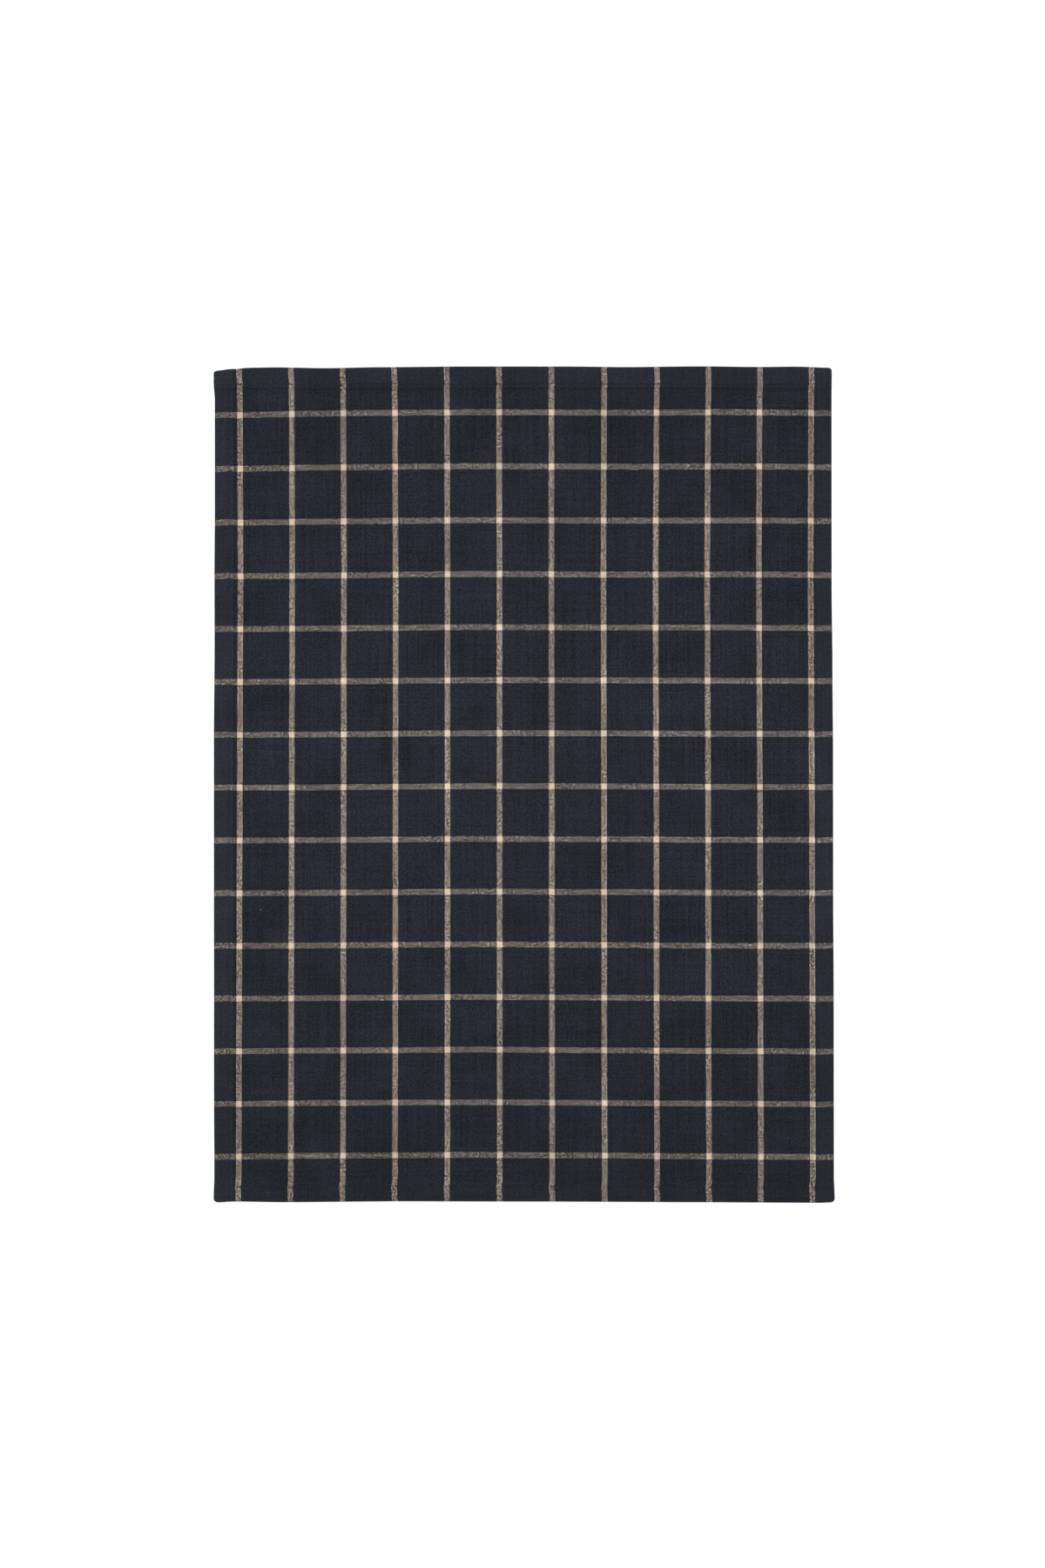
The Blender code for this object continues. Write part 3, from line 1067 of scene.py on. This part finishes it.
def hem_marks(start):
    """The dust and painted light, the holes, the painted shade of the fold lines and holes, and the painted
    shade of the ticks of all four hems, each summed up.
    """
    x, y = uv_places(start, "plan")
    dust, holes, shade, tick_shades = 0.0, 0.0, 0.0, 0.0
    for hem, look, inward, along_hem in zip(HEMS, HEM_LOOKS, inward_of(x, y), (y, y, x, x)):
        on_hem = ((hem.inner_fold - inward) / DUST_AND_LIGHT_FADE).clamped()
        rim = (1 - inward / RIM_HIGHLIGHT_REACH).clamped()
        # Dust and painted light over the hem, and a painted highlight on the rim of the outer fold.
        dust = dust + on_hem * look.dust + rim * rim * look.rim
        to_hole = abs((along_hem / STITCH) % 1.0 - 0.5) * -STITCH + STITCH / 2
        across_hole = inward - hem.stitching
        far = (to_hole * to_hole + across_hole * across_hole).root()
        hole = (1 - far / HOLE_RADIUS).clamped()
        holes = holes + hole
        # A line of painted shade inside the inner fold, a painted highlight at the bottom hem, and painted
        # shade in each hole.
        fold_line = band(inward, hem.inner_fold + FOLD_SHADING_PLACE, FOLD_SHADING_HALF_WIDTH)
        shade = shade + fold_line * look.fold_line + hole * HOLE_SHADE
        # Painted shade of the sewing's furrow, which darkens the beige as a tick.
        tick_shades = tick_shades + band(inward, hem.stitching, TICK_SHADE_HALF_WIDTH) * look.tick
    return dust, holes, shade, tick_shades


print(len(HEM_LOOKS), "hems to mark")

# %% [markdown]
# ## The finished material
# How beige a place is picks between the dyes, and the tone shades them. The heights go into a Bump node
# too, so that the yarns catch the light. Cotton is matte, with a thin sheen of loose fibres that is the
# same all over.

# %% The twill's material
YARN_RELIEF = 0.11 * MM
HOLE_DEPTH = 0.1 * MM
# Fuzz to a metre, and its height in units of the yarns' relief.
FUZZ = 900.0
FUZZ_RELIEF = 0.35
MATTE = 0.9
# How much less matte a place gets with its tone.
GLOSS = 0.1
SHEEN = 0.08
SHEEN_ROUGHNESS = 0.5
SPECULAR = 0.18
# How much light is lost deep between the yarns, and how much of that the beige is spared.
CREVICE = 0.42
BEIGE_SPARED = 0.5
# A light fleck of lint near the left edge.
LINT_PLACE = (-219.8 * MM, -102.5 * MM)
LINT_RADIUS = 0.75 * MM
LINT_SHARE = 0.8
LINT_COLOUR = (0.2, 0.21, 0.25, 1.0)


def lint_at(x, y):
    """1 in the middle of the fleck of lint, falling to 0 at its edge."""
    off_x, off_y = x - LINT_PLACE[0], y - LINT_PLACE[1]
    return (1 - (off_x * off_x + off_y * off_y) / LINT_RADIUS**2).clamped()


def cloth_colour(x, y, shown, tone, dust):
    """The dye of the yarn that shows, shaded by the tone, with dust, painted light and lint on it."""
    beige_dye = blend(shown.warp, WEFT_BEIGE, WARP_BEIGE)
    beige_dye = blend(shown.both_beige, beige_dye, CROSSING_BEIGE)
    colour = blend(shown.beige, NAVY, beige_dye)
    colour = tone.node("VectorMath", {"operation": "SCALE"}, {0: colour, "Scale": tone})
    colour = blend(dust, colour, DUST_AND_LIGHT_COLOUR)
    return blend(lint_at(x, y) * LINT_SHARE, colour, LINT_COLOUR)


def make_twill():
    material, start, shader = start_material("checked_twill")
    x, y = uv_places(start, "weave")
    warp, weft = yarns_at(x, y)
    shown = shown_at(x, y, warp, weft)
    dust, holes, shade, tick_shades = hem_marks(start)
    depth = (shown.height / (ROUNDNESS + RISE_AND_DIP)).clamped()
    tone = cloth_tone(x, y, warp, weft, shown)
    tone = tone * (1 - CREVICE * (1 - depth) * (1 - shown.beige * BEIGE_SPARED))
    # Painted shade of the hems' fold lines, holes and ticks.
    tone = tone * (1 - shade) * (1 - shown.beige * tick_shades)
    fuzz = noise(x, y, FUZZ) * FUZZ_RELIEF
    relief = shown.height + fuzz - holes * (HOLE_DEPTH / YARN_RELIEF)
    sockets = {
        "Base Color": cloth_colour(x, y, shown, tone, dust),
        "Roughness": MATTE - (tone - 1) * GLOSS,
        "Normal": start.node("Bump", {}, {"Strength": 1.0, "Distance": YARN_RELIEF, "Height": relief}),
        "Specular IOR Level": SPECULAR,
        "Sheen Weight": SHEEN,
        "Sheen Roughness": SHEEN_ROUGHNESS,
    }
    start.fill(shader, sockets)
    return material


twill = make_twill()
cloth.data.materials.append(twill)
print("twill of", len(twill.node_tree.nodes), "nodes")

# %% [markdown]
# Sewing thread is two plies twisted together. A slanted wave along and around the tube shades the groove
# between them and lifts them in the bump.

# %% The thread's material
THREAD_COLOUR = (0.008, 0.010, 0.015, 1.0)
THREAD_LIGHT = (0.018, 0.021, 0.029, 1.0)
TWIST = 0.9 * MM
PLIES = 2
# Lumps of hair along a metre of thread and once around it.
HAIRS_ALONG = 2600.0
HAIRS_AROUND = 6.0
# How light the thread is in its grooves, and how much a ply and the hairs change that.
LEAST_LIGHT = 0.15
PLY_LIGHT = 0.7
HAIR_LIGHT = 0.5
# The height of a ply, and that of the hairs as a share of it.
PLY_RELIEF = 0.05 * MM
HAIR_RELIEF = 0.4
THREAD_ROUGHNESS = 0.75
PLY_GLOSS = 0.12
THREAD_SPECULAR = 0.2


def make_thread():
    material, start, shader = start_material("sewing_thread")
    run, around = uv_places(start, "thread")
    ply = ((run / TWIST + around) * (2 * np.pi * PLIES)).cosine() * 0.5 + 0.5
    hair = noise(run * HAIRS_ALONG, around * HAIRS_AROUND, 1.0)
    light = (ply * PLY_LIGHT + hair * HAIR_LIGHT + LEAST_LIGHT).clamped()
    relief = {"Strength": 1.0, "Distance": PLY_RELIEF, "Height": ply + hair * HAIR_RELIEF}
    sockets = {
        "Base Color": blend(light, THREAD_COLOUR, THREAD_LIGHT),
        "Roughness": THREAD_ROUGHNESS - ply * PLY_GLOSS,
        "Normal": start.node("Bump", {}, relief),
        "Specular IOR Level": THREAD_SPECULAR,
    }
    start.fill(shader, sockets)
    return material


thread = make_thread()
for sewing in sewings:
    sewing.data.materials.append(thread)
print("thread of", len(thread.node_tree.nodes), "nodes")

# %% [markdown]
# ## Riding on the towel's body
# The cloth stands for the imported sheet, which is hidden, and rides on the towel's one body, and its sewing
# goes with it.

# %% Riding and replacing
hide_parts("cloth")
for piece in [cloth] + sewings:
    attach(piece, "root")
print("declared a cut of", round(CUT_WIDTH, 3), "by", round(CUT_LENGTH, 3), "m")

# %% [markdown]
# ## Studio
# The photo looks straight down on the towel, on plain white without a shadow. The floor glows a little,
# as a lit white table does, which keeps it white and wipes out the shadow.

# %% Floor
FLOOR_SIZE = 40.0
FLOOR_GAP = 0.15 * MM
WHITE = (1.0, 1.0, 1.0, 1.0)
FLOOR_LOOK = {
    "Base Color": (0.93, 0.93, 0.93, 1.0),
    "Roughness": 0.95,
    "Specular IOR Level": 0.0,
    "Emission Color": WHITE,
    "Emission Strength": 0.55,
}

half = FLOOR_SIZE / 2
corners = [(-half, -half), (half, -half), (half, half), (-half, half)]
floor_mesh = new_mesh("floor", [(x, y, -FLOOR_GAP) for x, y in corners], [(0, 1, 2, 3)])
floor = add_object("floor", floor_mesh)
floor_paint, paint_start, floor_shader = start_material("floor_paint")
paint_start.fill(floor_shader, FLOOR_LOOK)
floor_mesh.materials.append(floor_paint)
print("floor", FLOOR_SIZE, "m wide")

# %% [markdown]
# The light is brightest along the middle of the real towel and fades to both ends, most to the lower one.
# So a long softbox hangs low across its middle, a large one stands far off beyond the top edge, and one
# low at the left picks out the relief. All three look at the towel's middle.

# %% Softboxes
Softbox = namedtuple("Softbox", "name place width depth power")
SOFTBOXES = (
    Softbox("over_the_middle", (0.0, 0.04, 0.88), 1.3, 0.4, 7.6),
    Softbox("over_the_top_edge", (-0.25, 0.9, 3.3), 2.4, 2.4, 9.0),
    Softbox("low_at_the_left", (-2.6, 1.0, 1.5), 1.2, 1.2, 14.0),
)


def add_softbox(softbox):
    light = bpy.data.lights.new(softbox.name, "AREA")
    light.shape = "RECTANGLE"
    light.size = softbox.width
    light.size_y = softbox.depth
    light.energy = softbox.power
    lamp = add_object(softbox.name, light)
    lamp.location = softbox.place
    x, y, height = softbox.place
    lean, turn = np.arctan2(np.hypot(x, y), height), np.arctan2(-y, -x) - np.pi / 2
    lamp.rotation_euler = (float(lean), 0.0, float(turn))
    lamp.visible_camera = False


for softbox in SOFTBOXES:
    add_softbox(softbox)
print(len(SOFTBOXES), "softboxes")

# %% [markdown]
# Dim surroundings fill from all sides. They are pale only near the horizon, so that the floor runs out
# into them without an edge when the towel is looked at from low down.

# %% Surroundings
FILL = 0.23
HORIZON_LIGHT = 0.78
# The sine of the angle over the horizon at which the pale band ends.
HORIZON_BAND = 0.30

world = bpy.data.worlds.new("pale_surroundings")
world.use_nodes = True
surroundings = Wire(world.node_tree)
direction = surroundings.node("TexCoord", {}, {}, "Generated")
upward = surroundings.node("SeparateXYZ", {}, {"Vector": direction}, "Z")
low_down = (1 - upward / HORIZON_BAND).clamped()
strength = FILL + low_down * low_down * (HORIZON_LIGHT - FILL)
surroundings.fill(world.node_tree.nodes["Background"], {"Color": WHITE, "Strength": strength})
bpy.context.scene.world = world
bpy.context.scene.view_settings.view_transform = "Standard"
print("surroundings from", FILL, "to", HORIZON_LIGHT)

# %% [markdown]
# The camera hangs straight above, so far up that the towel's low relief hardly shifts in the picture.

# %% Camera
# The photo's frame on the table, and the point under its middle.
FRAME_LENGTH = 1.3139
CAMERA_HEIGHT = 3.0
CAMERA_PLACE = (-1.4 * MM, 0.45 * MM, CAMERA_HEIGHT)
SENSOR_WIDTH = 36.0

lens = bpy.data.cameras.new("overhead")
lens.sensor_width = SENSOR_WIDTH
lens.lens = SENSOR_WIDTH * CAMERA_HEIGHT / FRAME_LENGTH
camera = add_object("overhead", lens)
camera.location = CAMERA_PLACE
bpy.context.scene.camera = camera
print(f"camera {CAMERA_HEIGHT} m up with a {lens.lens:.1f} mm lens")
